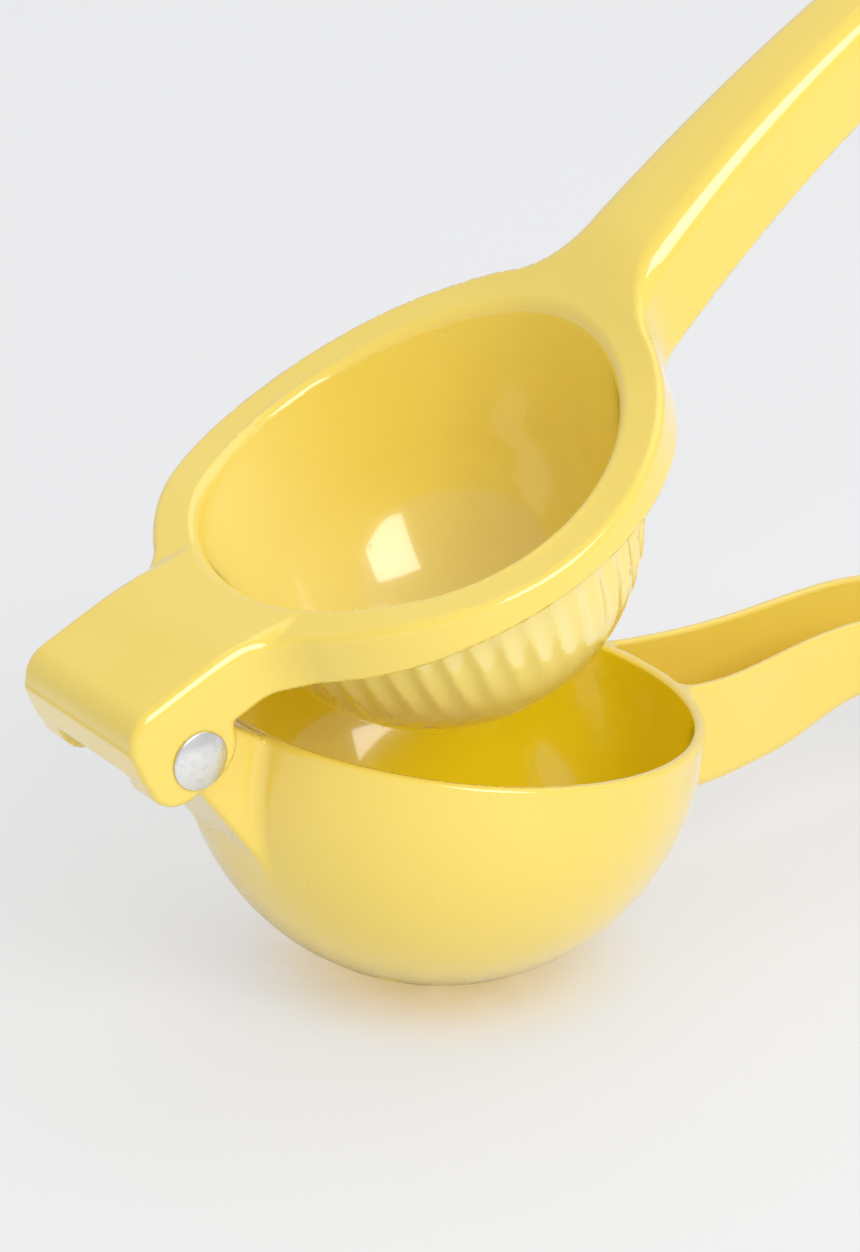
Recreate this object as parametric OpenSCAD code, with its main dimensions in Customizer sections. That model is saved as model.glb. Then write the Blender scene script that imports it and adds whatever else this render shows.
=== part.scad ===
// Hinged lemon squeezer: two aluminium castings on one steel rivet.
// The lower arm is a pierced bowl with a channel handle that opens upwards.
// The upper arm is a fluted press cup in a wide ring, with a handle that opens
// downwards and a hood whose two ears straddle the bowl's lug.
// It stands open on a table, on the bowl's round bottom and the lower handle's tip.

/* [Bowl] */
// Outer radius of the bowl and of the press ring above it
bowl_r = 38; // [34:0.5:44]
// Thickness of the bowl's wall
bowl_wall = 1.9; // [1.7:0.1:3]
// Height of the straight collar above the bowl's half ball
collar_h = 5; // [3:0.5:9]
// Radius on the outer and inner edge of the rim
rim_round = 0.5; // [0.3:0.1:0.8]

/* [Juice holes] */
// Diameter of a juice hole
juice_d = 3.4; // [2:0.1:4]
// Radius of the inner ring of juice holes
inner_ring_r = 9; // [7:0.5:11]
// Holes in the inner ring
inner_ring_n = 6; // [4:1:8]
// Radius of the outer ring of juice holes
outer_ring_r = 17; // [15:0.5:20]
// Holes in the outer ring
outer_ring_n = 12; // [8:1:16]

/* [Press cup] */
// Room for squeezed peel between the closed cup and the bowl
peel_gap = 5.75; // [4:0.05:7]
// Thickness of the press cup's wall
cup_wall = 2.6; // [2.3:0.05:3.6]
// Depth of the cup's ball centre below the rivet
cup_drop = 2.2; // [0:0.1:4]
// Slope of the cup's wall at the mouth, in degrees from upright
mouth_flare = 13.8; // [8:0.1:15]
// Number of flutes around the cup
flute_n = 46; // [24:1:48]
// Depth of a flute at the ball's widest place
flute_deep = 0.6; // [0.4:0.1:0.9]
// Radius of a flute's hollow
flute_r = 2.3; // [1.6:0.1:2.3]

/* [Press ring] */
// Height of the ring's flat underside above the rivet
ring_base = 2.2; // [1.8:0.1:3.2]
// Radius of the underside's fall from the cup's centre towards the hood
base_r = 395; // [350:5:800]
// Thickness of the ring where it is thinnest, beside the cup's centre
ring_t = 4.6; // [3.6:0.1:6]
// Radius of the long dip along the ring's top, from hood to neck
dip_r = 119; // [100:1:200]
// Height of the ring's top beside the hood, above the rivet
shoulder_h = 9.1; // [8.4:0.1:10]
// Radius of the fillet between the cup and the ring's underside
root_r = 4; // [3:0.1:4.5]

/* [Hinge] */
// Distance from the bowl's outside to the rivet's axis
hinge_reach = 14; // [13.5:0.1:18]
// Height of the rivet's axis above the bowl's rim
hinge_rise = 0.6; // [0:0.1:1]
// Angle between the arms as the squeezer stands
open_angle = 32.7; // [15:0.1:60]
// Width over the two ears
hood_w = 28.7; // [26:0.1:34]
// Width of the lug between the ears
lug_w = 16.6; // [13:0.1:19]
// Play between the lug and each ear
side_gap = 0.35; // [0.2:0.05:0.6]
// Height of the hood's roof above the rivet
roof_h = 11.2; // [10:0.1:14]
// Thickness of the hood's roof and back wall
roof_t = 2.6; // [2:0.1:3.4]
// Distance from the rivet to the outside of the back wall
hood_back = 8.5; // [8.4:0.1:11]
// Radius of the roll between roof and back wall
roll_r = 5; // [4:0.1:6]
// Height of the back wall's lower edge above the rivet
back_edge = 1.7; // [1.5:0.1:3]
// Radius of the ear's front lower corner
ear_front_r = 6; // [5.4:0.1:6.4]
// Radius of the ear's back lower corner
ear_back_r = 5; // [4.5:0.1:5.4]
// Depth of the ear below the rivet
ear_drop = 5; // [4.8:0.1:6]
// Radius of the lug's boss
boss_r = 5.2; // [4.6:0.1:5.4]
// Distance of the lug's sloping underside from the rivet's axis
lug_under = 1.9; // [1.4:0.1:3]
// Slope of the lug's underside, in degrees
lug_slope = 45.2; // [42:0.1:50]

/* [Rivet] */
// Diameter of the rivet's shank
shank_d = 4.8; // [4:0.1:5.4]
// Radial play of the shank in the lug
shank_play = 0.05; // [0.02:0.01:0.1]
// Diameter of the factory head
head_d = 8.6; // [7.6:0.1:9.4]
// Thickness of a head at its edge
head_edge = 0.4; // [0.3:0.1:0.8]
// Height of the dome above that edge
head_dome = 0.9; // [0.5:0.1:1.4]
// Diameter of the formed head on the far side
formed_d = 7.6; // [7:0.1:9]

/* [Handles] */
// Distance from the bowl's centre to the tip of both handles
handle_reach = 160; // [140:1:180]
// Thickness of a handle's side walls
wall_t = 1.6; // [1.5:0.1:2.8]
// Thickness of a handle's web
web_t = 2.6; // [2:0.1:3.4]
// Width of the grip
grip_w = 18.6; // [17:0.1:24]
// Corner radius of a handle's tip, seen from above
tip_r = 4; // [2:0.5:7]
// Diameter of the hanging holes
hang_d = 8; // [5:0.5:9]
// Distance from the tip to the hanging holes
hang_back = 11; // [9:0.5:16]

/* [Lower handle] */
// Width where the handle leaves the bowl
root_w = 20.6; // [18:0.1:24]
// Width of the waist
waist_w = 15.4; // [14:0.1:17]
// Height of the handle's crest above the rim
lower_rise = 6.6; // [3:0.1:10]
// Distance from the bowl to the crest
lower_run = 44; // [36:1:52]
// Radius of the arch from the crest to the tip
lower_arch_r = 276; // [240:1:400]
// Depth of the handle at the bowl
root_depth = 17.2; // [14:0.1:18]
// Depth of the handle along the grip
grip_depth = 12.6; // [11:0.1:14]

/* [Upper handle] */
// Height of the handle's crest above the rivet
upper_rise = 27.8; // [24:0.1:31]
// Distance from the tip back to the crest
crest_back = 45; // [30:1:60]
// Radius of the arch along the handle's back
upper_arch_r = 247; // [220:1:320]
// Distance from the cup's centre to where the neck starts to climb
neck_from = 26.5; // [24:0.5:32]
// Length of the neck's climb from the ring's dip to the handle's back
neck_run = 20.5; // [16:0.5:28]
// Radius of the fillets between ring and neck, seen from above
neck_r = 12; // [8:0.5:14]
// Width of the handle where it leaves the ring
neck_w = 17.9; // [16:0.1:19]
// Width of the handle's waist
upper_waist_w = 13.6; // [13:0.1:16]
// Distance from the neck's fillets to the waist
taper_run = 55; // [44:1:64]
// Depth of the handle at the ring
neck_depth = 15; // [14:0.1:16]
// Depth of the handle at its tip
upper_depth = 12; // [11:0.1:13]

/* [Hidden] */
$fn = 96;
enamel = [0.95, 0.82, 0.36];
steel = [0.78, 0.79, 0.78];
over = 1; // how far a cut runs past what it cuts
step = 4; // spacing of the points along a handle's outline
fine_step = 2; // their spacing along the ring and the neck

// The rivet is the upper arm's origin; the centre of the bowl's rim is the lower arm's
pin_reach = bowl_r + hinge_reach;
ring_top = ring_base + ring_t;
cup_r = bowl_r - bowl_wall - peel_gap;
cup_hollow_r = cup_r - cup_wall;
ear_t = (hood_w - lug_w) / 2 - side_gap;
upper_reach = pin_reach + handle_reach;
crest_x = upper_reach - crest_back;
ring_edge_x = pin_reach + bowl_r;
grip_from = bowl_r + 30; // where the lower handle starts to widen into the grip

// Step from 0 to 1 with a smooth start and end
function ease(s) = (1 - cos(180 * max(0, min(1, s)))) / 2;
function arc(x, y, r, from, to, n = 8) =
    [for (i = [0:n]) let (a = from + (to - from) * i / n) [x + r * cos(a), y + r * sin(a)]];
function stations(from, to, by = step) = [for (i = [0:ceil((to - from) / by)]) min(to, from + i * by)];

// Lower handle: its top, its depth and half its width, at x from the bowl's centre
function lower_top(x) = lower_rise * ease((x - bowl_r) / lower_run)
    - pow(max(0, x - bowl_r - lower_run), 2) / (2 * lower_arch_r);
function lower_bottom(x) = lower_top(x) - root_depth
    + (root_depth - grip_depth) * ease((x - bowl_r - 20) / 20);
function lower_half(x) = (waist_w + (root_w - waist_w) * (1 - ease((x - bowl_r) / 28))
    + (grip_w - waist_w) * ease((x - grip_from) / 24)) / 2;

// The cup's inner radius at a height above the rivet, along the sloping wall of the mouth
function mouth_r(z) = (cup_hollow_r + (z + cup_drop) * sin(mouth_flare)) / cos(mouth_flare);

// Upper arm: its top, its lower edge and half its width, at x from the rivet
neck_x = ring_edge_x - 2 * fine_step;
function ring_bottom(x) = ring_base - pow(max(0, pin_reach - x), 2) / (2 * base_r);
function upper_dip(x) = let (z = ring_top + pow(x - pin_reach, 2) / (2 * dip_r))
    x < pin_reach ? min(shoulder_h, z) : z;
function upper_arch(x) = upper_rise - pow(x - crest_x, 2) / (2 * upper_arch_r);
function upper_top(x) = upper_dip(x)
    + (upper_arch(x) - upper_dip(x)) * ease((x - pin_reach - neck_from) / neck_run);
function upper_bottom(x) = max(ring_base, upper_arch(x) - neck_depth
    + (neck_depth - upper_depth) * ease((x - ring_edge_x) / (upper_reach - ring_edge_x)));
// The neck's fillet is an arc that touches both the ring and the handle's side, and the
// handle starts a little inside the ring
fillet_run = sqrt(pow(bowl_r + neck_r, 2) - pow(neck_w / 2 + neck_r, 2));
fillet_x = pin_reach + fillet_run;
touch_x = pin_reach + fillet_run * bowl_r / (bowl_r + neck_r);
function upper_half(x) =
    x < touch_x ? sqrt(pow(bowl_r, 2) - pow(x - pin_reach, 2)) - 0.3
    : x < fillet_x ? neck_w / 2 + neck_r - sqrt(pow(neck_r, 2) - pow(fillet_x - x, 2))
    : upper_waist_w / 2 + (neck_w - upper_waist_w) / 2 * pow(max(0, 1 - (x - fillet_x) / taper_run), 2)
        + (grip_w - upper_waist_w) / 2 * ease((x - fillet_x - taper_run) / 30);

// Standing pose: the bowl's lowest point and the lower handle's tip both touch the table
tip_drop = -lower_bottom(handle_reach) - collar_h;
tilt = asin(bowl_r / norm([handle_reach, tip_drop])) - atan(tip_drop / handle_reach);
lift = bowl_r + collar_h * cos(tilt);
upper_turn = open_angle - tilt;
pin_x = -pin_reach * cos(tilt) + hinge_rise * sin(tilt);
function upper_x(x, z) = pin_x + x * cos(upper_turn) - z * sin(upper_turn);
roll_x = roll_r - hood_back;
roll_z = roof_h - roll_r;
back_x = upper_x(roll_x, roll_z) - roll_r;
front_x = max(handle_reach * cos(tilt) + lower_top(handle_reach) * sin(tilt),
    upper_x(upper_reach, upper_bottom(upper_reach)));
centre_x = (back_x + front_x) / 2;

module lower_place() {
    translate([-centre_x, 0, lift])
        rotate([0, tilt, 0])
            children();
}

module upper_place() {
    lower_place()
        translate([-pin_reach, 0, hinge_rise])
            rotate([0, -open_angle, 0])
                children();
}

// Extrudes an outline drawn in x and z across the full width w, centred on y
module across(w) {
    rotate([90, 0, 0])
        linear_extrude(w, center = true)
            children();
}

// A handle's body: its side outline where it meets its outline from above
module bar(side, plan) {
    tall = 3 * (upper_rise + root_depth);
    intersection() {
        across(4 * bowl_r) polygon(side);
        linear_extrude(tall, center = true) polygon(plan);
    }
}

// Outline from above through the given stations, as wide as half() says, with a rounded tip
function plan_outline(half, stops, tip, inset) =
    let (end = tip - inset, r = max(0.5, tip_r - inset),
        xs = [for (x = stops) if (x < end - r) x], e = half(end) - inset)
    concat([for (x = xs) [x, -(half(x) - inset)]], arc(end - r, -(e - r), r, -90, 0),
        arc(end - r, e - r, r, 0, 90), [for (i = [len(xs) - 1:-1:0]) [xs[i], half(xs[i]) - inset]]);

module bowl_outside() {
    rotate_extrude()
        polygon(concat([[0, 0], [0, -collar_h - bowl_r]],
            arc(0, -collar_h, bowl_r, -90, 0, 32),
            arc(bowl_r - rim_round, -rim_round, rim_round, 0, 90, 6)));
}

module bowl_inside() {
    r = bowl_r - bowl_wall;
    rotate_extrude()
        polygon(concat([[0, over], [0, -collar_h - r]],
            arc(0, -collar_h, r, -90, 0, 32),
            arc(r + rim_round, -rim_round, rim_round, 180, 90, 6),
            [[r + rim_round, over]]));
}

module hole_ring(n, r) {
    for (i = [0:n - 1])
        rotate([0, 0, (i + 0.5) * 360 / n])
            translate([r, 0, -collar_h - bowl_r - over])
                cylinder(d = juice_d, h = bowl_r);
}

module juice_holes() {
    translate([0, 0, -collar_h - bowl_r - over])
        cylinder(d = juice_d, h = bowl_r);
    hole_ring(inner_ring_n, inner_ring_r);
    hole_ring(outer_ring_n, outer_ring_r);
}

// The handle starts inside the bowl's wall, where its lowest corners meet the ball
module lower_handle() {
    from = sqrt(pow(bowl_r, 2) - pow(root_depth - collar_h, 2) - pow(root_w / 2, 2)) - over;
    xs = stations(from, handle_reach);
    far = len(xs) - 1;
    difference() {
        bar(concat([for (x = xs) [x, lower_bottom(x)]],
            [for (i = [far:-1:0]) [xs[i], lower_top(xs[i])]]),
            plan_outline(function(x) lower_half(x), xs, handle_reach, 0));
        bar(concat([for (x = xs) [x, lower_bottom(x) + web_t]],
            [for (i = [far:-1:0]) [xs[i], lower_top(xs[i]) + over]]),
            plan_outline(function(x) lower_half(x), xs, handle_reach, wall_t));
    }
}

// The lug's side outline about the rivet's axis: level with the rim on top, sloping below
module lug_outline() {
    rim_x = hinge_reach + bowl_wall / 2;
    rim_z = -hinge_rise - rim_round / 2;
    rim_far = norm([rim_x, rim_z]);
    rim_at = atan2(rim_z, rim_x);
    top_at = rim_at + acos(boss_r / rim_far);
    under_at = -90 - lug_slope;
    under_x = lug_under * cos(under_at);
    under_z = lug_under * sin(under_at);
    under_run = 25;
    circle(boss_r);
    polygon([
        [0, 0],
        [under_x, under_z],
        [under_x + under_run * cos(lug_slope), under_z - under_run * sin(lug_slope)],
        [hinge_reach + 8, -hinge_rise - 20],
        [rim_x, rim_z],
        [boss_r * cos(top_at), boss_r * sin(top_at)],
    ]);
}

module lug() {
    translate([-pin_reach, 0, hinge_rise])
        across(lug_w)
            lug_outline();
}

// A hanging hole through a handle's web at x, square to the slope of the web there
module hang_hole(x, z, slope) {
    translate([x, 0, z])
        rotate([0, -slope, 0])
            cylinder(d = hang_d, h = 4 * web_t, center = true);
}

hang_x = handle_reach - hang_back;
lower_hang_slope = atan((lower_bottom(hang_x + 4) - lower_bottom(hang_x - 4)) / 8);
upper_hang_x = upper_reach - hang_back;
upper_hang_slope = atan((upper_top(upper_hang_x + 4) - upper_top(upper_hang_x - 4)) / 8);

module lower_arm() {
    color(enamel)
        lower_place()
            difference() {
                union() {
                    bowl_outside();
                    lower_handle();
                    lug();
                }
                bowl_inside();
                juice_holes();
                translate([-pin_reach, 0, hinge_rise])
                    across(2 * hood_w)
                        circle(shank_d / 2 + shank_play);
                hang_hole(hang_x, lower_bottom(hang_x) + web_t / 2, lower_hang_slope);
            }
}

// The ring, round from above, with the long dip from hood to neck in its top
module ring_outside() {
    xs = [for (i = [ceil(2 * bowl_r / fine_step):-1:0]) ring_edge_x - i * fine_step];
    last = len(xs) - 1;
    intersection() {
        across(3 * bowl_r)
            polygon(concat([for (x = xs) [x, upper_top(x)]],
                [for (i = [last:-1:0]) [xs[i], ring_bottom(xs[i])]]));
        translate([pin_reach, 0, 0])
            cylinder(r = bowl_r, h = upper_rise);
    }
}

// The ball under the ring, with upright round hollows that run out where it narrows
module cup_outside() {
    translate([pin_reach, 0, -cup_drop])
        difference() {
            rotate_extrude()
                intersection() {
                    circle(cup_r);
                    translate([0, -bowl_r])
                        square([bowl_r, bowl_r + ring_base + cup_drop + over]);
                }
            for (i = [0:flute_n - 1])
                rotate([0, 0, (i + 0.5) * 360 / flute_n])
                    translate([cup_r + flute_r - flute_deep, 0, -bowl_r])
                        cylinder(r = flute_r, h = 2 * bowl_r, $fn = 24);
        }
}

// The fillet that carries the ring on the cup
module cup_root() {
    inner = cup_r - cup_wall / 2;
    translate([pin_reach, 0, 0])
        rotate_extrude()
            polygon(concat([[inner, ring_base + over], [inner, ring_base - root_r]],
                arc(cup_r + root_r, ring_base - root_r, root_r, 180, 90),
                [[cup_r + root_r, ring_base + over]]));
}

module cup_inside() {
    translate([pin_reach, 0, 0])
        rotate_extrude()
            polygon(concat([[0, -cup_drop - cup_hollow_r]],
                arc(0, -cup_drop, cup_hollow_r, -90, -mouth_flare, 32),
                [[mouth_r(upper_rise), upper_rise], [0, upper_rise]]));
}

module ear_outline() {
    circle_x = ear_back_r - hood_back;
    translate([circle_x, ear_back_r - ear_drop])
        circle(ear_back_r);
    translate([0.9, ear_front_r - ear_drop])
        circle(ear_front_r);
    translate([circle_x, -ear_drop])
        square([0.9 - circle_x, 2 * ear_drop]);
}

// The hood's side outline: rolled at the back, level along the roof, falling to the ring
module hood_outline() {
    lip_x = pin_reach - mouth_r(shoulder_h) + over;
    ear_outline();
    polygon(concat(arc(roll_x, roll_z, roll_r, 180, 90),
        [[hinge_reach - 3.5, roof_h], [lip_x, shoulder_h], [lip_x, ring_base],
            [-hood_back, ear_back_r - ear_drop]]));
}

module hood_hollow() {
    front = hinge_reach - 1.5;
    inner_r = roll_r - roof_t;
    across(lug_w + 2 * side_gap)
        polygon(concat(arc(roll_x, roll_z, inner_r, 180, 90),
            [[front, roof_h - roof_t], [front, -2 * ear_drop], [roof_t - hood_back, -2 * ear_drop]]));
    translate([-2 * hood_back, -hood_w / 2 + ear_t, -2 * ear_drop])
        cube([2 * hood_back, hood_w - 2 * ear_t, 2 * ear_drop + back_edge]);
}

module upper_handle() {
    xs = concat(stations(neck_x, fillet_x, fine_step),
        [for (x = stations(fillet_x, upper_reach)) if (x > fillet_x) x]);
    far = len(xs) - 1;
    difference() {
        bar(concat([for (x = xs) [x, upper_bottom(x)]],
            [for (i = [far:-1:0]) [xs[i], upper_top(xs[i])]]),
            plan_outline(function(x) upper_half(x), xs, upper_reach, 0));
        intersection() {
            bar(concat([for (x = xs) [x, upper_bottom(x) - over]],
                [for (i = [far:-1:0]) [xs[i], upper_top(xs[i]) - web_t]]),
                plan_outline(function(x) upper_half(x), xs, upper_reach, wall_t));
            translate([ring_edge_x, -bowl_r, -over])
                cube([upper_reach, 2 * bowl_r, 2 * upper_rise]);
        }
    }
}

module upper_arm() {
    color(enamel)
        upper_place()
            difference() {
                union() {
                    ring_outside();
                    cup_root();
                    cup_outside();
                    across(hood_w) hood_outline();
                    upper_handle();
                }
                cup_inside();
                hood_hollow();
                across(2 * hood_w) circle(d = shank_d);
                hang_hole(upper_hang_x, upper_top(upper_hang_x) - web_t / 2, upper_hang_slope);
            }
}

// A head on the rivet's axis, its flat side at z = 0
module rivet_head(d) {
    ball_r = (pow(d / 2, 2) + pow(head_dome, 2)) / (2 * head_dome);
    half_angle = asin(d / 2 / ball_r);
    rotate_extrude()
        polygon(concat([[0, 0], [d / 2, 0]],
            arc(0, head_edge + head_dome - ball_r, ball_r, 90 - half_angle, 90, 10)));
}

module hinge_rivet() {
    color(steel)
        upper_place()
            rotate([90, 0, 0]) {
                cylinder(d = shank_d, h = hood_w, center = true);
                translate([0, 0, hood_w / 2]) rivet_head(head_d);
                mirror([0, 0, 1])
                    translate([0, 0, hood_w / 2])
                        rivet_head(formed_d);
            }
}

lower_arm();
upper_arm();
hinge_rivet();
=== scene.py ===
import math

import bpy
import numpy as np
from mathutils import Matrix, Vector


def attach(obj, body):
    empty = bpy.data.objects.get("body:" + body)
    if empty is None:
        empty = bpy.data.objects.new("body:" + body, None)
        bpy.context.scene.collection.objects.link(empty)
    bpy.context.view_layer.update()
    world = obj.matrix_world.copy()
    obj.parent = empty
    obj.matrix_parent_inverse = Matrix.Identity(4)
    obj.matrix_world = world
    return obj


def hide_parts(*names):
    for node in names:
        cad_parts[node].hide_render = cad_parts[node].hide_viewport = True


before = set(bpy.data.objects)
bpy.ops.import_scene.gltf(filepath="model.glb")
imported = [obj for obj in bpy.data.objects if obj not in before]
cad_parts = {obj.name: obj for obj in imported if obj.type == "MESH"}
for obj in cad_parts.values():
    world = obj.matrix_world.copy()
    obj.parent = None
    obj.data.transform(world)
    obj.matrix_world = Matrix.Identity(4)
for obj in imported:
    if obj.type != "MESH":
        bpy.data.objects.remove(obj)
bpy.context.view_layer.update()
print("frame loaded")

mm = 0.001

# Sizes in mm, as in the castings' solids, but with softer roundings. Each arm has its own
# frame: the lower one starts at the centre of the bowl's rim, the upper one at the rivet's axis.
squeezer = {
    "bowlR": 38.0, "bowlWall": 1.9, "collarH": 5.0,
    "pinReach": 52.0, "hingeRise": 0.6, "openAngle": 32.7,
    "tilt": 9.4028, "rimPlace": (-47.6289, 42.9328),
    "handleReach": 160.0, "wallT": 1.6, "webT": 2.6, "gripW": 18.6, "tipR": 4.0,
    "hangR": 4.0, "hangBack": 11.0,
}


# Every form is a function of x, y and z that is below 0 inside it, a distance in mm

def ease(s):  # from 0 to 1 along half a wave of the cosine
    return (1 - np.cos(np.pi * np.clip(s, 0, 1))) / 2


def lesser(a, b, k):  # the lower of two heights, their crossing eased over a height of k
    h = np.clip(0.5 + 0.5 * (b - a) / k, 0, 1)
    return b + (a - b) * h - k * h * (1 - h)


def far(*parts):  # length of a vector
    total = 0
    for p in parts:
        total = total + p * p
    return np.sqrt(total)


def joined(a, b, r):  # both forms together, the corner between them filled to radius r
    return np.maximum(r, np.minimum(a, b)) - far(np.maximum(r - a, 0), np.maximum(r - b, 0))


def shared(a, b, r):  # what lies in both forms, its edge rounded to radius r
    return np.minimum(-r, np.maximum(a, b)) + far(np.maximum(r + a, 0), np.maximum(r + b, 0))


def without(a, b, r):  # the first form less the second, the new edge rounded to radius r
    return shared(a, -b, r)


def spokes(x, y, n):  # turns every point into the sector of one of n spokes, half a sector on
    part = 2 * np.pi / n
    a = np.mod(np.arctan2(y, x), part) - part / 2
    rho = far(x, y)
    return rho * np.cos(a), rho * np.sin(a)


def slopeOf(height, x):  # cosine of a height's slope, which makes it a distance
    return 1 / np.sqrt(1 + ((height(x + 0.05) - height(x - 0.05)) / 0.1) ** 2)


def barForm(x, y, z, top, bottom, half, tip, inset, topR, lowR):
    # a bar between two heights and two sides: each is a height or a width along x, the
    # plan ends in a tip with rounded corners, and both long edges have their own radius
    sides = shared((np.abs(y) - half(x) + inset) * slopeOf(half, x), x - tip + inset,
                   squeezer["tipR"] - inset)
    under = (bottom(x) - z) * slopeOf(bottom, x)
    over = (z - top(x)) * slopeOf(top, x)
    return shared(shared(sides, under, lowR), over, topR)


lowerArm = {
    "rimRound": 0.8, "holeR": 1.7, "holeEdge": 0.45, "rings": ((9.0, 6), (17.0, 12)),
    "rise": 6.6, "run": 44.0, "archR": 276.0, "rootDepth": 17.2, "gripDepth": 12.6,
    "rootW": 20.6, "waistW": 15.4, "wallEdge": 0.6, "lowEdge": 2.2, "channelRound": 2.0,
    "handleRoot": 2.2, "bossR": 5.2, "lugHalf": 8.3, "lugEdge": 1.0, "lugRoot": 1.5,
    "lugUnder": 1.9, "lugSlope": 45.2, "pinHole": 2.45, "hingeReach": 14.0, "rimZ": -0.85,
    "handleFrom": 30.0, "rootRun": 28.0, "depthFrom": 58.0, "depthRun": 20.0,
    "gripFrom": 68.0, "gripRun": 24.0, "cutTo": -37.5, "cutClimb": 3, "cutCosine": 0.316,
}


def lowerTop(x):
    a = lowerArm
    past = x - squeezer["bowlR"]
    return a["rise"] * ease(past / a["run"]) - np.maximum(0, past - a["run"]) ** 2 / (2 * a["archR"])


def lowerBottom(x):
    a = lowerArm
    thinner = ease((x - a["depthFrom"]) / a["depthRun"])
    return lowerTop(x) - a["rootDepth"] + (a["rootDepth"] - a["gripDepth"]) * thinner


def lowerHalf(x):
    a = lowerArm
    return (a["waistW"] + (a["rootW"] - a["waistW"]) * (1 - ease((x - squeezer["bowlR"]) / a["rootRun"]))
            + (squeezer["gripW"] - a["waistW"]) * ease((x - a["gripFrom"]) / a["gripRun"])) / 2


def bowlDepth(x, y, z, r):  # a half ball under a straight collar, both of radius r
    return far(x, y, np.minimum(z + squeezer["collarH"], 0)) - r


def lugForm(x, y, z):
    # seen from the side, a round boss about the rivet and a wedge that runs from it to the
    # bowl: level with the rim on top, sloping below
    a = lowerArm
    px, pz = x + squeezer["pinReach"], z - squeezer["hingeRise"]
    rimX, rimZ = a["hingeReach"] + squeezer["bowlWall"] / 2, a["rimZ"]
    topAt = math.atan2(rimZ, rimX) + math.acos(a["bossR"] / math.hypot(rimX, rimZ))
    underAt = -math.pi / 2 - math.radians(a["lugSlope"])
    startAt = underAt + math.acos(a["lugUnder"] / a["bossR"])
    overTop = px * math.cos(topAt) + pz * math.sin(topAt) - a["bossR"]
    under = px * math.cos(underAt) + pz * math.sin(underAt) - a["lugUnder"]
    low = a["bossR"] * np.array((math.cos(startAt), math.sin(startAt)))
    high = a["bossR"] * np.array((math.cos(topAt), math.sin(topAt)))
    along = (high - low) / np.linalg.norm(high - low)
    back = -(px - low[0]) * along[1] + (pz - low[1]) * along[0]
    wedge = np.maximum(np.maximum(overTop, under), np.maximum(back, px - 20))
    outline = np.minimum(far(px, pz) - a["bossR"], wedge)
    lug = shared(outline, np.abs(y) - a["lugHalf"], a["lugEdge"])
    return lug, far(px, pz) - a["pinHole"]


def hangHole(x, z, atX, height, y):
    # a round hole square to the slope of the web at atX
    slope = math.atan((height(np.array(atX + 4.0)) - height(np.array(atX - 4.0))) / 8)
    middle = float(height(np.array(float(atX))))
    across = (x - atX) * math.cos(slope) + (z - middle) * math.sin(slope)
    return far(across, y) - squeezer["hangR"]


def lowerForm(x, y, z):
    # the ball, the handle and the lug grow together first; then one surface, level over the
    # bowl and arched over the handle, cuts their tops, so that rim and walls run on flush
    a = lowerArm
    outside = bowlDepth(x, y, z, squeezer["bowlR"])
    inside = bowlDepth(x, y, z, squeezer["bowlR"] - squeezer["bowlWall"])
    high = lambda s: lowerTop(s) + 30
    body = barForm(x, y, z, high, lowerBottom, lowerHalf, squeezer["handleReach"], 0, 0.2, a["lowEdge"])
    floorOf = lambda s: lowerBottom(s) + squeezer["webT"]
    channel = barForm(x, y, z, high, floorOf, lowerHalf, squeezer["handleReach"],
                      squeezer["wallT"], 0.2, a["channelRound"])
    channel = without(np.maximum(channel, a["handleFrom"] - x), outside, a["channelRound"])
    hangAt = squeezer["handleReach"] - squeezer["hangBack"]
    webHole = hangHole(x, z, hangAt, lambda s: lowerBottom(s) + squeezer["webT"] / 2, y)
    lug, pinHole = lugForm(x, y, z)
    whole = joined(outside, np.maximum(body, a["handleFrom"] - x), a["handleRoot"])
    whole = joined(whole, lug, a["lugRoot"])
    # past the bowl's rim, over the lug, the cut climbs away steeply and leaves the lug whole
    past = a["cutTo"] - x
    over = np.where(past > 0, (z - past * a["cutClimb"]) * a["cutCosine"],
                    (z - lowerTop(x)) * slopeOf(lowerTop, x))
    edge = a["rimRound"] + (a["wallEdge"] - a["rimRound"]) * ease((x - 36) / 6)
    whole = shared(whole, over, edge)
    whole = without(whole, inside, np.where(z > -4, a["rimRound"], 0.3))
    whole = without(whole, channel, a["wallEdge"])
    whole = without(whole, webHole, 0.6)
    whole = without(whole, pinHole, 0.4)
    hole = far(x, y) - a["holeR"]
    for r, n in a["rings"]:
        u, v = spokes(x, y, n)
        hole = np.minimum(hole, far(u - r, v) - a["holeR"])
    return without(whole, np.maximum(hole, z + 12), a["holeEdge"])


upperArm = {
    "ringBase": 2.2, "ringT": 4.6, "dipR": 119.0, "shoulderH": 9.1, "ringEdge": 1.2, "lowEdge": 0.8,
    "cupR": 30.35, "cupHollowR": 27.75, "cupDrop": 2.2, "mouthFlare": 13.8, "lipRound": 1.3,
    "rootR": 4.0, "fluteN": 46, "fluteDeep": 0.6, "baseR": 395.0, "hoodBase": 1.3,
    "rise": 27.8, "crestX": 167.0, "archR": 247.0, "neckFrom": 26.5, "neckRun": 20.5,
    "neckR": 12.0, "neckW": 17.9, "waistW": 13.6, "taperRun": 55.0, "neckDepth": 15.0, "depth": 12.0,
    "backEdge": 3.4, "crown": 60.0, "reach": 212.0, "ringEdgeX": 90.0, "filletX": 97.4,
    "hoodHalf": 14.35, "earT": 5.7, "roofH": 11.2, "roofT": 2.6, "hoodBack": 8.37, "rollR": 5.0,
    "backHeight": 1.7, "earDrop": 5.0, "hoodEdge": 1.0, "hoodRoot": 5.0, "earRoot": 0.8,
    "roofFall": 0.1883, "roofBend": 10.5, "barFrom": 60.0, "hoodTo": 30.0,
    "crownFrom": 86.0, "roundFrom": 84.0, "roundRun": 14.0,
}


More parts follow.
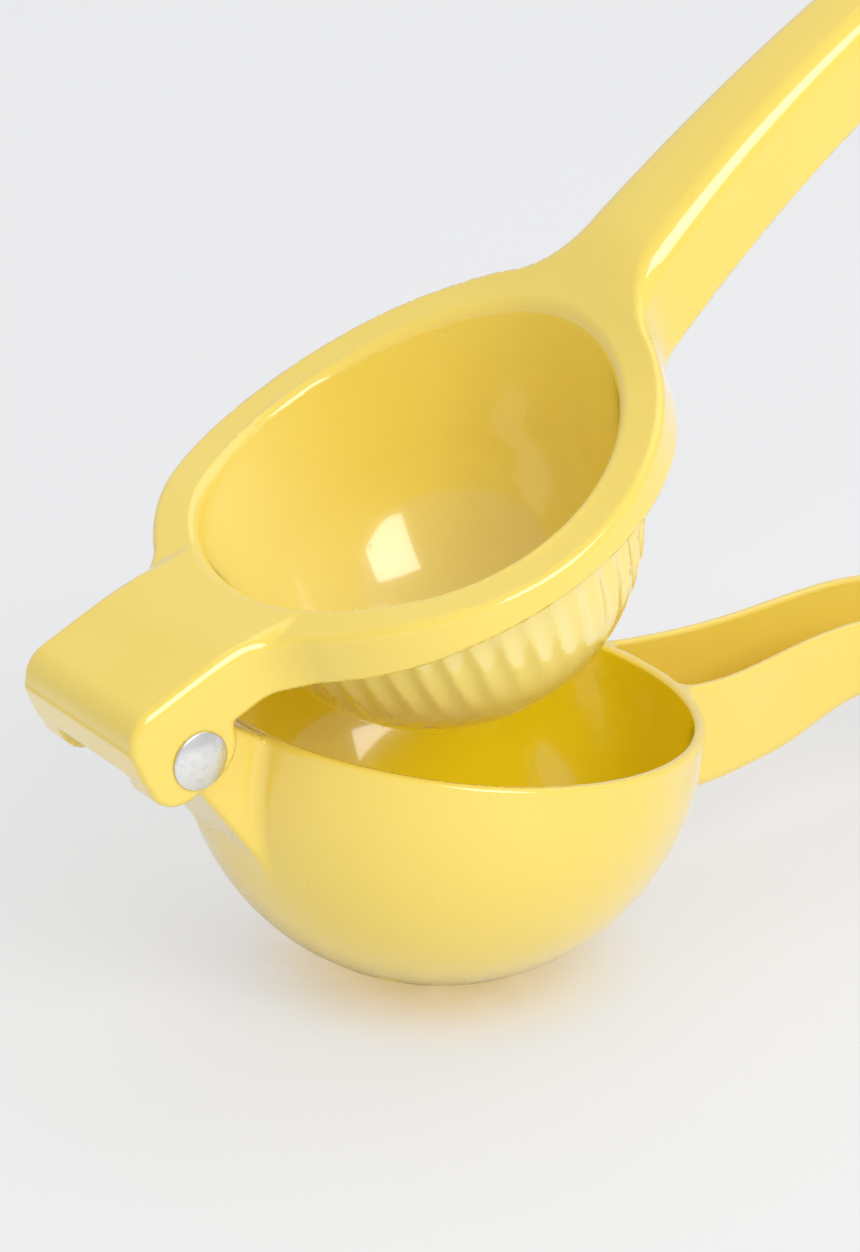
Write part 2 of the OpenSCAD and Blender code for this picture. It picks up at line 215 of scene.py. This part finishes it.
def upperDip(x):
    a = upperArm
    z = a["ringBase"] + a["ringT"] + (x - 52) ** 2 / (2 * a["dipR"])
    return np.where(x < 52, lesser(z, a["shoulderH"], 0.8), z)


def ringBottom(x):
    a = upperArm
    ring = a["ringBase"] - np.maximum(0, 52 - x) ** 2 / (2 * a["baseR"])
    return a["hoodBase"] + (ring - a["hoodBase"]) * ease((x - 13) / 5)


def upperArch(x):
    a = upperArm
    return a["rise"] - (x - a["crestX"]) ** 2 / (2 * a["archR"])


def upperTop(x):
    a = upperArm
    low = upperDip(x)
    return low + (upperArch(x) - low) * ease((x - 52 - a["neckFrom"]) / a["neckRun"])


def upperBottom(x):
    a = upperArm
    along = (x - a["ringEdgeX"]) / (a["reach"] - a["ringEdgeX"])
    z = upperArch(x) - a["neckDepth"] + (a["neckDepth"] - a["depth"]) * ease(along)
    return np.where(x < 80, ringBottom(x), np.maximum(a["ringBase"], z))


def upperHalf(x):
    a = upperArm
    taper = np.clip(1 - (x - a["filletX"]) / a["taperRun"], 0, 1) ** 2
    return (a["waistW"] + (a["neckW"] - a["waistW"]) * taper
            + (squeezer["gripW"] - a["waistW"]) * ease((x - a["filletX"] - a["taperRun"]) / 30)) / 2


def roofTop(x, y):  # the hood's level roof, which falls to the ring in front and beside it
    a = upperArm
    roof = lesser(a["roofH"], a["roofH"] - a["roofFall"] * (x - a["roofBend"]), 0.8)
    return roof - 4 * ease((np.abs(y) - a["hoodHalf"] + 1.5) / 6)


def hoodHollow(x, y, z):  # the room between the ears, and the gap under the back wall
    a = upperArm
    half = a["hoodHalf"] - a["earT"]
    inner = a["rollR"] - a["roofT"]
    hollow = shared(a["roofT"] - a["hoodBack"] - x, z - a["roofH"] + a["roofT"], inner)
    hollow = shared(shared(hollow, x - 12.5, 0.8), np.abs(y) - half, 0.8)
    gap = np.maximum(np.maximum(x, np.abs(y) - half), z - a["backHeight"])
    return np.minimum(hollow, gap)


def upperForm(x, y, z):
    # from above, hood, ring and handle are one outline with a fillet in each corner; from the
    # side, one profile with the ear below it; the casting is what lies in both
    a = upperArm
    cx = x - squeezer["pinReach"]
    rho = far(cx, y)
    band = rho - squeezer["bowlR"]
    hoodSides = np.maximum(np.abs(y) - a["hoodHalf"], x - a["hoodTo"])
    barSides = np.maximum((np.abs(y) - upperHalf(x)) * slopeOf(upperHalf, x), a["barFrom"] - x)
    plan = np.minimum(joined(band, hoodSides, a["hoodRoot"]), barSides)
    arcY = a["neckW"] / 2 + a["neckR"]
    arcX = a["filletX"] - squeezer["pinReach"]
    inCorner = (cx < arcX) & (np.abs(y) * arcX < cx * arcY)
    plan = np.where(inCorner, a["neckR"] - far(cx - arcX, np.abs(y) - arcY), plan)
    plan = shared(plan, x - a["reach"], squeezer["tipR"])
    crown = y * y / (2 * a["crown"]) * ease((x - a["crownFrom"]) / a["roundRun"])
    roof = roofTop(x, y)
    low = upperDip(x)
    dip = np.where(x < 40, -lesser(-roof, -low, 0.8), low)
    top = dip + (upperArch(x) - dip) * ease((x - 52 - a["neckFrom"]) / a["neckRun"])
    over = (z - top + crown) * slopeOf(upperTop, x)
    under = (upperBottom(x) - z) * slopeOf(upperBottom, x)
    back = -a["hoodBack"] - x
    ear = shared(shared(back, -a["earDrop"] - z, 5.0), x - 6.9, 6.0)
    ear = np.maximum(ear, z - 7)
    side = shared(back, over, a["rollR"])
    side = joined(shared(side, under, a["lowEdge"]), ear, a["earRoot"])
    edge = a["ringEdge"] + (a["backEdge"] - a["ringEdge"]) * ease((x - a["roundFrom"]) / a["roundRun"])
    edge = a["lowEdge"] + (edge - a["lowEdge"]) * ease((z - (top + upperBottom(x)) / 2 + 0.8) / 1.6)
    edge = np.where(x < 8, a["hoodEdge"], edge)
    body = shared(plan, side, edge)
    # the handle's channel, open below
    ceiling = lambda s: upperTop(s) - squeezer["webT"]
    channel = barForm(x, y, z, ceiling, lambda s: upperBottom(s) - 6, upperHalf, a["reach"],
                      squeezer["wallT"], 1.6, 0.2)
    channel = shared(channel, a["ringEdgeX"] - x, 1.0)
    body = without(body, channel, 0.5)
    hangAt = a["reach"] - squeezer["hangBack"]
    body = without(body, hangHole(x, z, hangAt, lambda s: upperTop(s) - squeezer["webT"] / 2, y), 0.6)
    # the fluted ball under the ring
    cz = z + a["cupDrop"]
    latitude = np.arctan2(cz, rho)
    depth = a["fluteDeep"] * ease((latitude + 0.62) / 0.42) * (1 - ease((z + 3.2) / 3.2))
    wave = np.cos(np.arctan2(y, cx) * a["fluteN"])
    ball = far(rho, cz) - a["cupR"] + depth * (0.5 - 0.5 * wave) ** 0.7
    ball = np.maximum(ball, z - a["ringBase"] - 2)
    whole = joined(body, ball, a["rootR"])
    # the cup's inside: a ball whose wall runs on along a cone above
    flare = math.radians(a["mouthFlare"])
    inside = np.where(latitude < -flare, far(rho, cz), rho * math.cos(flare) - cz * math.sin(flare))
    inside = inside - a["cupHollowR"]
    lip = 0.3 + (a["lipRound"] - 0.3) * ease((z - 3.0) / 2.0)
    whole = without(whole, inside, lip)
    whole = without(whole, hoodHollow(x, y, z), 0.4)
    return without(whole, far(x, z) - lowerArm["pinHole"], 0.2)


def gradientOf(form, p, h=0.02):  # difference of the form's values on both sides of p
    g = np.empty_like(p)
    for k in range(3):
        d = np.zeros(3)
        d[k] = h
        g[:, k] = (form(*(p + d).T) - form(*(p - d).T)) / (2 * h)
    return g


def surfaceOf(form, xs, ys, zs):
    # the form's value at every corner of a grid; each cell that the surface crosses gets one
    # point, the mean of the crossings on its edges, then moved down the form's slope onto
    # the surface; each grid edge that is crossed gets the square of its four cells
    s = form(*np.meshgrid(xs, ys, zs, indexing="ij")).astype(np.float64)
    inner = s < 0
    shape = np.array(s.shape) - 1
    cut = lambda a, i, j, k: a[i:shape[0] + i, j:shape[1] + j, k:shape[2] + k]
    corners = [(i, j, k) for i in (0, 1) for j in (0, 1) for k in (0, 1)]
    held = sum(cut(inner, *c).astype(np.int8) for c in corners)
    cells = np.argwhere((held > 0) & (held < 8))
    number = np.full(tuple(shape), -1)
    number[tuple(cells.T)] = np.arange(len(cells))
    total, found = np.zeros((len(cells), 3)), np.zeros(len(cells))
    axes = (xs, ys, zs)
    for c in corners:
        for k in range(3):
            if c[k]:
                continue
            end = list(c)
            end[k] = 1
            a = s[tuple((cells + c).T)]
            b = s[tuple((cells + end).T)]
            crossed = (a < 0) != (b < 0)
            t = np.where(crossed, a / np.where(crossed, a - b, 1), 0)
            p = np.stack([axes[n][cells[:, n] + c[n]] for n in range(3)], 1)
            p[:, k] += t * (axes[k][cells[:, k] + 1] - axes[k][cells[:, k]])
            total += np.where(crossed[:, None], p, 0)
            found += crossed
    points = total / found[:, None]
    for _ in range(3):
        g = gradientOf(form, points)
        size = np.maximum((g * g).sum(1), 0.05)
        points -= np.clip(form(*points.T) / size, -0.4, 0.4)[:, None] * g
    faces = []
    for k in range(3):
        m, n = (k + 1) % 3, (k + 2) % 3
        lower = [slice(0, None)] * 3
        upper = [slice(0, None)] * 3
        lower[k], upper[k] = slice(0, -1), slice(1, None)
        a, b = inner[tuple(lower)], inner[tuple(upper)]
        edges = np.argwhere(a != b)
        edges = edges[((edges[:, m] > 0) & (edges[:, n] > 0)
                       & (edges[:, m] < shape[m]) & (edges[:, n] < shape[n]))]
        leaving = a[tuple(edges.T)]
        ring = []
        for dm, dn in ((0, 0), (-1, 0), (-1, -1), (0, -1)):
            cell = edges.copy()
            cell[:, m] += dm
            cell[:, n] += dn
            ring.append(number[tuple(cell.T)])
        ring = np.stack(ring, 1)
        faces.append(np.where(leaving[:, None], ring, ring[:, ::-1]))
    faces = np.concatenate(faces)
    g = gradientOf(form, points)
    return points, faces, g / np.linalg.norm(g, axis=1)[:, None]


def lowerToWorld(p):  # mm from the rim's centre, turned by the tilt, to metres
    t = math.radians(squeezer["tilt"])
    c, s = math.cos(t), math.sin(t)
    x, z = squeezer["rimPlace"]
    out = np.stack([p[:, 0] * c + p[:, 2] * s, p[:, 1], p[:, 2] * c - p[:, 0] * s], 1)
    return out, (out + np.array((x, 0, z))) * mm


def upperToWorld(p):  # mm from the rivet, opened by the angle between the arms, to metres
    t = math.radians(squeezer["openAngle"])
    c, s = math.cos(t), math.sin(t)
    turned = np.stack([p[:, 0] * c - p[:, 2] * s, p[:, 1], p[:, 0] * s + p[:, 2] * c], 1)
    shifted = turned + np.array((-squeezer["pinReach"], 0, squeezer["hingeRise"]))
    return lowerToWorld(turned)[0], lowerToWorld(shifted)[1]


def meshOf(name, points, faces, normals=None):
    mesh = bpy.data.meshes.new(name)
    mesh.from_pydata(points.tolist(), [], faces)
    mesh.polygons.foreach_set("use_smooth", np.ones(len(mesh.polygons), bool))
    mesh.update()
    mesh.validate()
    if normals is not None:
        mesh.normals_split_custom_set_from_vertices(normals.tolist())
    piece = bpy.data.objects.new(name, mesh)
    bpy.context.scene.collection.objects.link(piece)
    return piece


def casting(name, form, hollow, toWorld, xs, ys, zs):
    points, faces, normals = surfaceOf(form, xs, ys, zs)
    piece = meshOf(name, toWorld(points)[1], faces.tolist(), toWorld(normals)[0])
    # the hollow attribute holds the share of painted bounce light at each point
    share = piece.data.attributes.new("hollow", "FLOAT", "POINT")
    share.data.foreach_set("value", hollow(*points.T).astype(np.float32))
    print(name, len(points), "points,", 2 * len(faces), "triangles")
    return piece


def spread(*stops):  # grid stations: (from, to, spacing) stretches one after another
    parts = [np.arange(round((b - a) / h)) * ((b - a) / round((b - a) / h)) + a for a, b, h in stops]
    return np.concatenate(parts + [[stops[-1][1]]])


grids = {  # mm in each casting's own frame, finer where the edges are narrow
    "lower": (spread((-58.8, 60, 0.7), (60, 161.7, 1.1)),
              spread((-39, -11, 0.7), (-11, -5, 0.44), (-5, 5, 0.7), (5, 11, 0.44), (11, 39, 0.7)),
              spread((-44, -2, 0.7), (-2, 8.5, 0.36))),
    "upper": (spread((-10, 104, 0.72), (104, 213.7, 1.3)), spread((-39, 39, 0.72)),
              spread((-34, 27, 0.72))),
}


def bowlHollow(x, y, z):  # where painted bounce light goes: 1 on the inside of the bowl, 0 elsewhere
    return ease((0.6 - bowlDepth(x, y, z, squeezer["bowlR"] - squeezer["bowlWall"])) / 0.6)


def cupHollow(x, y, z):  # where painted bounce light goes: 1 on the cup's inside near the hinge, falling to 0 away from it
    cx = x - squeezer["pinReach"]
    depth = far(cx, y, np.minimum(z + upperArm["cupDrop"], 0)) - upperArm["cupHollowR"] - 2.4
    return ease((1.2 - depth) / 1.2) * (1 - ease((cx * 0.75 + y * 0.35) / upperArm["cupHollowR"] + 0.3))


lowerPiece = casting("lowerCasting", lowerForm, bowlHollow, lowerToWorld, *grids["lower"])
upperPiece = casting("upperCasting", upperForm, cupHollow, upperToWorld, *grids["upper"])


rivet = {
    "shankR": 2.4, "nearY": -14.35, "farY": 14.35,
    "headR": 4.3, "formedR": 3.8, "edge": 0.4, "dome": 0.9, "rimRound": 0.22, "around": 96,
}


def headProfile(r, base, way):
    # from the pole along an arc to the rounded rim and back along the flat side to the shank
    a = rivet
    ballR = (r * r + a["dome"] ** 2) / (2 * a["dome"])
    t = np.linspace(0, 1, 20)
    rho = r * 0.965 * np.sin(t * np.pi / 2)
    height = a["edge"] + a["dome"] - ballR + np.sqrt(ballR ** 2 - rho ** 2)
    s = np.linspace(0.15 * np.pi, -0.5 * np.pi, 9)
    rimRho = r - a["rimRound"] + a["rimRound"] * np.cos(s)
    rimHeight = a["rimRound"] + a["rimRound"] * np.sin(s)
    rho = np.concatenate([rho, rimRho, [a["shankR"]]])
    height = np.concatenate([height, rimHeight, [0.0]])
    return rho, base + way * height


def rivetSurface():
    # the profile from the near head's pole over the shank to the far head's pole, carried
    # round the axis: a point is (rho cos u, height, rho sin u)
    a = rivet
    nearRho, nearY = headProfile(a["headR"], a["nearY"], -1)
    farRho, farY = headProfile(a["formedR"], a["farY"], 1)
    rho = np.concatenate([nearRho, farRho[::-1]])
    y = np.concatenate([nearY, farY[::-1]])
    n, rows = a["around"], len(rho)
    u = np.arange(n) * 2 * np.pi / n
    inner = slice(1, rows - 1)
    grid = np.stack([np.outer(rho[inner], np.cos(u)), np.repeat(y[inner, None], n, 1),
                     np.outer(rho[inner], np.sin(u))], 2).reshape(-1, 3)
    points = np.concatenate([grid, [[0, y[0], 0], [0, y[-1], 0]]])
    k = np.arange(rows - 3)[:, None] * n
    i = np.arange(n)[None, :]
    j = (i + 1) % n
    quads = np.stack([k + i, k + j, k + n + j, k + n + i], 2).reshape(-1, 4)
    i, j = np.arange(n), (np.arange(n) + 1) % n
    last = (rows - 3) * n
    nearCap = np.stack([np.full(n, n * (rows - 2)), j, i], 1)
    farCap = np.stack([np.full(n, n * (rows - 2) + 1), last + i, last + j], 1)
    return points, quads.tolist() + nearCap.tolist() + farCap.tolist()


rivetPoints, rivetFaces = rivetSurface()
rivetPiece = meshOf("rivet", upperToWorld(rivetPoints)[1], rivetFaces)
print("rivet made")


class Val:
    # a socket whose operators add Math nodes
    def __init__(self, tree, socket):
        self.tree, self.socket = tree, socket

    def math(self, kind, other, back=False):
        node = self.tree.nodes.new("ShaderNodeMath")
        node.operation = kind
        pair = (other, self) if back else (self, other)
        for slot, v in zip(node.inputs, pair):
            if isinstance(v, Val):
                self.tree.links.new(v.socket, slot)
            else:
                slot.default_value = v
        return Val(self.tree, node.outputs[0])

    def __add__(self, o): return self.math("ADD", o)
    def __radd__(self, o): return self.math("ADD", o, True)
    def __mul__(self, o): return self.math("MULTIPLY", o)
    def __rmul__(self, o): return self.math("MULTIPLY", o, True)


class Finish:
    # a material and its node tree; node() adds any node, its settings first
    def __init__(self, name):
        self.material = bpy.data.materials.new(name)
        self.material.use_nodes = True
        self.tree = self.material.node_tree
        self.shader = self.tree.nodes["Principled BSDF"]

    def node(self, kind, settings=None, values=None, out=0):
        node = self.tree.nodes.new(kind)
        for key, value in (settings or {}).items():
            setattr(node, key, value)
        for key, value in (values or {}).items():
            if isinstance(value, Val):
                self.tree.links.new(value.socket, node.inputs[key])
            else:
                node.inputs[key].default_value = value
        return Val(self.tree, node.outputs[out])

    def feed(self, values):
        for key, value in values.items():
            slot = self.shader.inputs[key]
            if isinstance(value, Val):
                self.tree.links.new(value.socket, slot)
            else:
                slot.default_value = value

    def place(self):
        return self.node("ShaderNodeTexCoord", out=3)

    def blend(self, share, first, second):
        return self.node("ShaderNodeMix", {"data_type": "RGBA"}, {0: share, 6: first, 7: second}, out=2)


enamelLook = {
    "colour": (0.85, 0.645, 0.10, 1), "deep": (0.83, 0.61, 0.08, 1),
    # the last two colours are painted bounce light, the deeper yellow inside the bowl and the cup
    "bowl": (0.98, 0.77, 0.012, 1), "cup": (0.90, 0.74, 0.22, 1),
    "roughness": 0.16, "peel": 0.000012, "pit": 0.00005, "coat": 1.0,
    "slowScale": 38.0, "peelScale": 420.0, "pitScale": 95.0,
}


def enamelFinish(name, hollow):  # one enamel, with painted bounce light: a deeper yellow laid on the insides
    look = enamelLook
    f = Finish(name)
    at = f.place()
    slow = f.node("ShaderNodeTexNoise", None, {"Vector": at, "Scale": look["slowScale"], "Detail": 3.0})
    fine = f.node("ShaderNodeTexNoise", None, {"Vector": at, "Scale": look["peelScale"], "Detail": 2.0})
    pits = f.node("ShaderNodeTexVoronoi", {"feature": "F1"}, {"Vector": at, "Scale": look["pitScale"]})
    pitMask = f.node("ShaderNodeMapRange", None, {"Value": pits, "From Min": 0.035, "From Max": 0.06,
                                                  "To Min": 1.0, "To Max": 0.0})
    shade = f.node("ShaderNodeMapRange", None, {"Value": slow, "From Min": 0.35, "From Max": 0.68})
    inside = f.node("ShaderNodeAttribute", {"attribute_name": "hollow"}, out=2)
    colour = f.blend(shade * 0.45, look["colour"], look["deep"])
    # painted bounce light: where the hollow attribute is 1, the colour turns to the deeper yellow
    colour = f.blend(inside, colour, look[hollow])
    peel = f.node("ShaderNodeBump", None, {"Strength": 1.0, "Distance": look["peel"], "Height": fine})
    dent = f.node("ShaderNodeBump", {"invert": True}, {"Strength": 1.0, "Distance": look["pit"],
                                                       "Height": pitMask, "Normal": peel})
    rough = look["roughness"] + slow * 0.06
    f.feed({"Base Color": colour, "Roughness": rough, "Normal": dent, "IOR": 1.5,
            "Coat Weight": look["coat"], "Coat Roughness": 0.05})
    return f.material


steelLook = {"bright": (0.74, 0.74, 0.73, 1), "dull": (0.50, 0.51, 0.51, 1), "scuffScale": 700.0,
             "blotchScale": 260.0, "roughness": 0.24}


def steelFinish(name):
    f = Finish(name)
    at = f.place()
    scuff = f.node("ShaderNodeTexNoise", None, {"Vector": at, "Scale": steelLook["scuffScale"],
                                                "Detail": 5.0, "Distortion": 1.2})
    blotch = f.node("ShaderNodeTexNoise", None,
                    {"Vector": at, "Scale": steelLook["blotchScale"], "Detail": 2.0})
    mark = f.node("ShaderNodeMapRange", None, {"Value": scuff, "From Min": 0.50, "From Max": 0.68})
    colour = f.blend(mark * 0.3, steelLook["bright"], steelLook["dull"])
    rough = steelLook["roughness"] + mark * 0.05 + blotch * 0.05
    bump = f.node("ShaderNodeBump", None, {"Strength": 0.3, "Distance": 0.000006, "Height": blotch})
    f.feed({"Base Color": colour, "Roughness": rough, "Normal": bump, "Metallic": 1.0})
    return f.material


lowerPiece.data.materials.append(enamelFinish("bowlEnamel", "bowl"))
upperPiece.data.materials.append(enamelFinish("cupEnamel", "cup"))
rivetPiece.data.materials.append(steelFinish("rivetSteel"))
print("finishes made")


room = {
    "floorHalf": 3.0, "floor": (0.88, 0.88, 0.885, 1), "world": (0.87, 0.87, 0.88, 1), "worldStrength": 0.80,
    # glow is painted yellow bounce light, laid on the floor around the bowl's contact point
    "seen": 0.62, "white": (0.80, 0.81, 0.825, 1), "glow": (0.90, 0.66, 0.30, 1),
    "contact": (-0.048, 0, 0), "glowFrom": 0.008, "glowTo": 0.033,
}


def floorSurface():  # a flat square under the squeezer
    h = room["floorHalf"]
    return np.array([(-h, -h, 0), (h, -h, 0), (h, h, 0), (-h, h, 0)], float), [(0, 1, 2, 3)]


floor = meshOf("floor", *floorSurface())


def floorMaterial():
    # lit and shadowed like any pale sheet; the camera sees it mixed with an even white, which
    # turns to painted yellow bounce light where the bowl comes down to it
    f = Finish("paleFloor")
    f.feed({"Base Color": room["floor"], "Roughness": 0.55})
    reach = f.node("ShaderNodeVectorMath", {"operation": "DISTANCE"},
                   {0: f.place(), 1: room["contact"]}, out=1)
    bounceShare = f.node("ShaderNodeMapRange", {"interpolation_type": "SMOOTHSTEP"},
                  {"Value": reach, "From Min": room["glowFrom"], "From Max": room["glowTo"],
                   "To Min": 1.0, "To Max": 0.0})
    # painted bounce light: the even white turns yellow close to the contact point
    shade = f.blend(bounceShare, room["white"], room["glow"])
    glow = f.node("ShaderNodeEmission", None, {"Color": shade, "Strength": 1.0})
    seen = f.node("ShaderNodeLightPath") * room["seen"]
    mix = f.node("ShaderNodeMixShader", None, {0: seen, 1: Val(f.tree, f.shader.outputs[0]), 2: glow})
    f.tree.links.new(mix.socket, f.tree.nodes["Material Output"].inputs["Surface"])
    return f.material


floor.data.materials.append(floorMaterial())

world = bpy.data.worlds.new("studio")
bpy.context.scene.world = world
world.use_nodes = True
back = world.node_tree.nodes["Background"]
back.inputs["Color"].default_value = room["world"]
back.inputs["Strength"].default_value = room["worldStrength"]


def direction(azimuth, elevation):  # unit vector from the object at two angles in degrees
    a, e = math.radians(azimuth), math.radians(elevation)
    return Vector((math.cos(e) * math.cos(a), math.cos(e) * math.sin(a), math.sin(e)))


lamps = {
    "window": {"at": (-92.5, 39.5), "distance": 1.0, "size": (0.50, 0.64), "energy": 5.2},
    "fill": {"at": (20.0, 62.0), "distance": 1.6, "size": (1.6, 1.2), "energy": 5.0},
}
lampTarget = Vector((-0.045, 0, 0.06))
for name, lamp in lamps.items():
    light = bpy.data.lights.new(name, "AREA")
    light.shape = "RECTANGLE"
    light.size, light.size_y = lamp["size"]
    light.energy = lamp["energy"]
    holder = bpy.data.objects.new(name, light)
    bpy.context.scene.collection.objects.link(holder)
    way = direction(*lamp["at"])
    holder.location = lampTarget + way * lamp["distance"]
    holder.rotation_euler = way.to_track_quat("Z", "Y").to_euler()

view = {"azimuth": -35.52, "elevation": 24.89, "distance": 0.724, "lens": 146.2,
        "target": (-0.050319, 0, 0.053603)}
camera = bpy.data.cameras.new("camera")
camera.lens = view["lens"]
camera.sensor_width = 36
camera.clip_start, camera.clip_end = 0.01, 20
cameraHolder = bpy.data.objects.new("camera", camera)
bpy.context.scene.collection.objects.link(cameraHolder)
a, e = math.radians(view["azimuth"]), math.radians(view["elevation"])
look = Vector((-math.sin(a) * math.cos(e), math.cos(a) * math.cos(e), -math.sin(e)))
cameraHolder.location = Vector(view["target"]) - look * view["distance"]
cameraHolder.rotation_euler = look.to_track_quat("-Z", "Y").to_euler()
bpy.context.scene.camera = cameraHolder
bpy.context.scene.view_settings.view_transform = "Standard"
print("room, lamps and camera set")

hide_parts("lower_arm")
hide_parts("upper_arm")
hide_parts("hinge_rivet")
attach(lowerPiece, "lower")
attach(upperPiece, "upper")
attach(rivetPiece, "upper")
